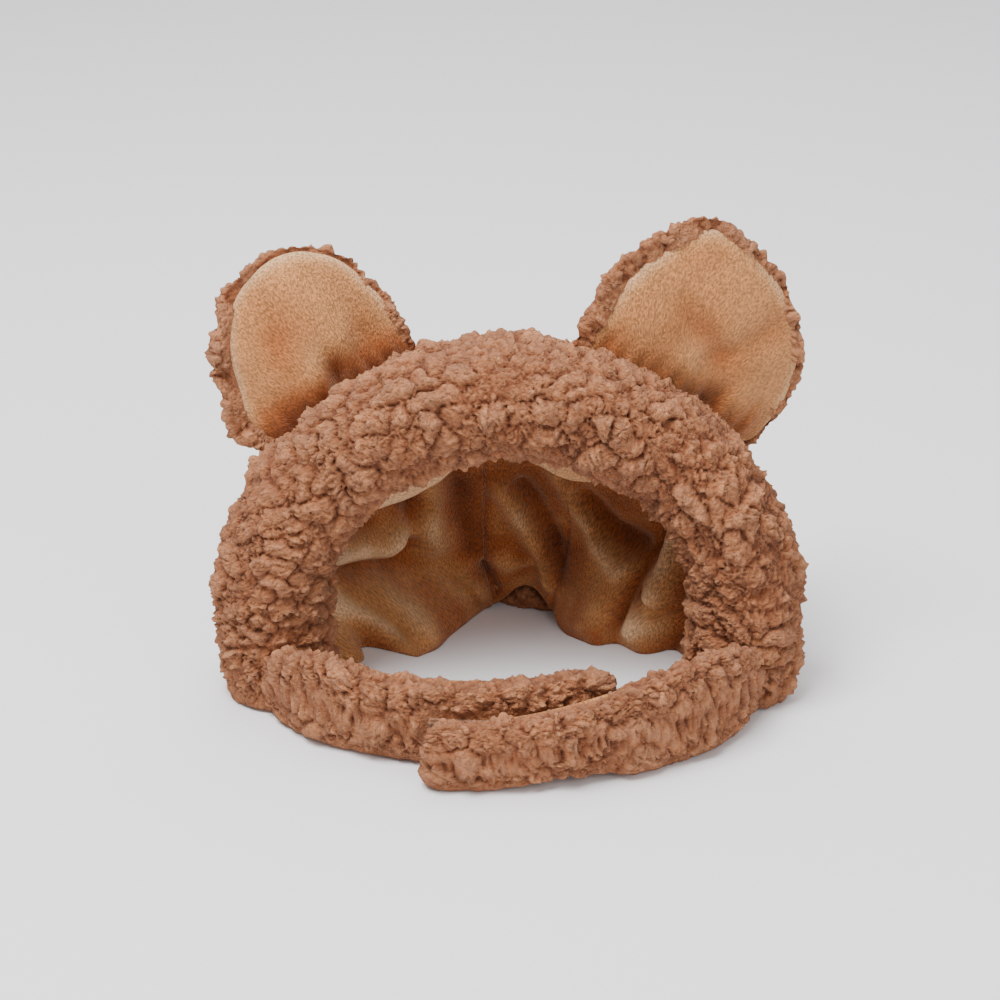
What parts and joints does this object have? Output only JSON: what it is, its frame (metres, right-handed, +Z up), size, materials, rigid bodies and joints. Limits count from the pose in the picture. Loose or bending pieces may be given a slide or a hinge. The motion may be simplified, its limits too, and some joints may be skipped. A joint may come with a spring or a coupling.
{
  "type": "animal ears hood",
  "caption": "Soft pull-on hood with two padded round ears, a thick curly-fleece roll round the face opening, plush lining and a chin strap closed by hook and loop.",
  "frame": {"origin": "bottom centre of the bounding box, on the surface that the hood stands on", "axes": "+Z up, -Y out of the face opening, +X across the hood; the nodes named left are on -X and those named right on +X"},
  "size_m": [0.1804, 0.135, 0.1411],
  "materials": {
    "curly_fleece": "curly teddy fleece, matte",
    "tan_plush": "short plush pile, soft sheen",
    "wadding": "lofted polyester wadding",
    "elastic": "woven elastic",
    "hook_tape": "hook tape, matte nylon",
    "loop_tape": "loop tape, napped nylon",
    "thread": "polyester sewing thread"
  },
  "bodies": {
    "hood": {"face_band": "curly_fleece", "face_band_wadding": "wadding", "crown_gusset": "curly_fleece", "crown_side_left": "curly_fleece", "crown_side_right": "curly_fleece", "lining_gusset": "tan_plush", "lining_side_left": "tan_plush", "lining_side_right": "tan_plush", "neck_hem": "curly_fleece", "neck_elastic": "elastic"},
    "ear_left": {"ear_left_back": "curly_fleece", "ear_left_front": "tan_plush", "ear_left_batting": "wadding"},
    "ear_right": {"ear_right_back": "curly_fleece", "ear_right_front": "tan_plush", "ear_right_batting": "wadding"},
    "strap_left": {"strap_left_cover": "curly_fleece", "strap_left_lining": "tan_plush", "loop_patch": "loop_tape", "loop_stitching": "thread"},
    "strap_right": {"strap_right_cover": "curly_fleece", "strap_right_lining": "tan_plush"},
    "tab": {"tab_cover": "curly_fleece", "tab_lining": "tan_plush", "hook_patch": "hook_tape", "hook_stitching": "thread"}
  },
  "joints": [
    {"name": "ear_left_fold", "type": "hinge", "parent": "hood", "child": "ear_left", "pos_m": [-0.05361, 0.02052, 0.09643], "axis": [0.8434, 0.0562, 0.5344], "range_deg": [-35, 30], "stiffness_Nm_per_rad": 0.02},
    {"name": "ear_right_fold", "type": "hinge", "parent": "hood", "child": "ear_right", "pos_m": [0.05051, 0.02072, 0.09831], "axis": [0.8635, -0.0527, -0.5016], "range_deg": [-35, 30], "stiffness_Nm_per_rad": 0.02},
    {"name": "strap_right_swing", "type": "hinge", "parent": "hood", "child": "strap_right", "pos_m": [0.08604, -0.02323, 0], "axis": [0, 0, 1], "range_deg": [0, 70]},
    {"name": "strap_left_swing", "type": "hinge", "parent": "hood", "child": "strap_left", "pos_m": [-0.08025, -0.02121, 0], "axis": [0, 0, -1], "range_deg": [0, 28]},
    {"name": "tab_peel", "type": "hinge", "parent": "strap_right", "child": "tab", "pos_m": [0.03826, -0.05755, 0], "axis": [0, 0, 1], "range_deg": [0, 80]}
  ],
  "couplings": [
    {"joint": "strap_left_swing", "follows": "strap_right_swing", "ratio": 0.4}
  ]
}
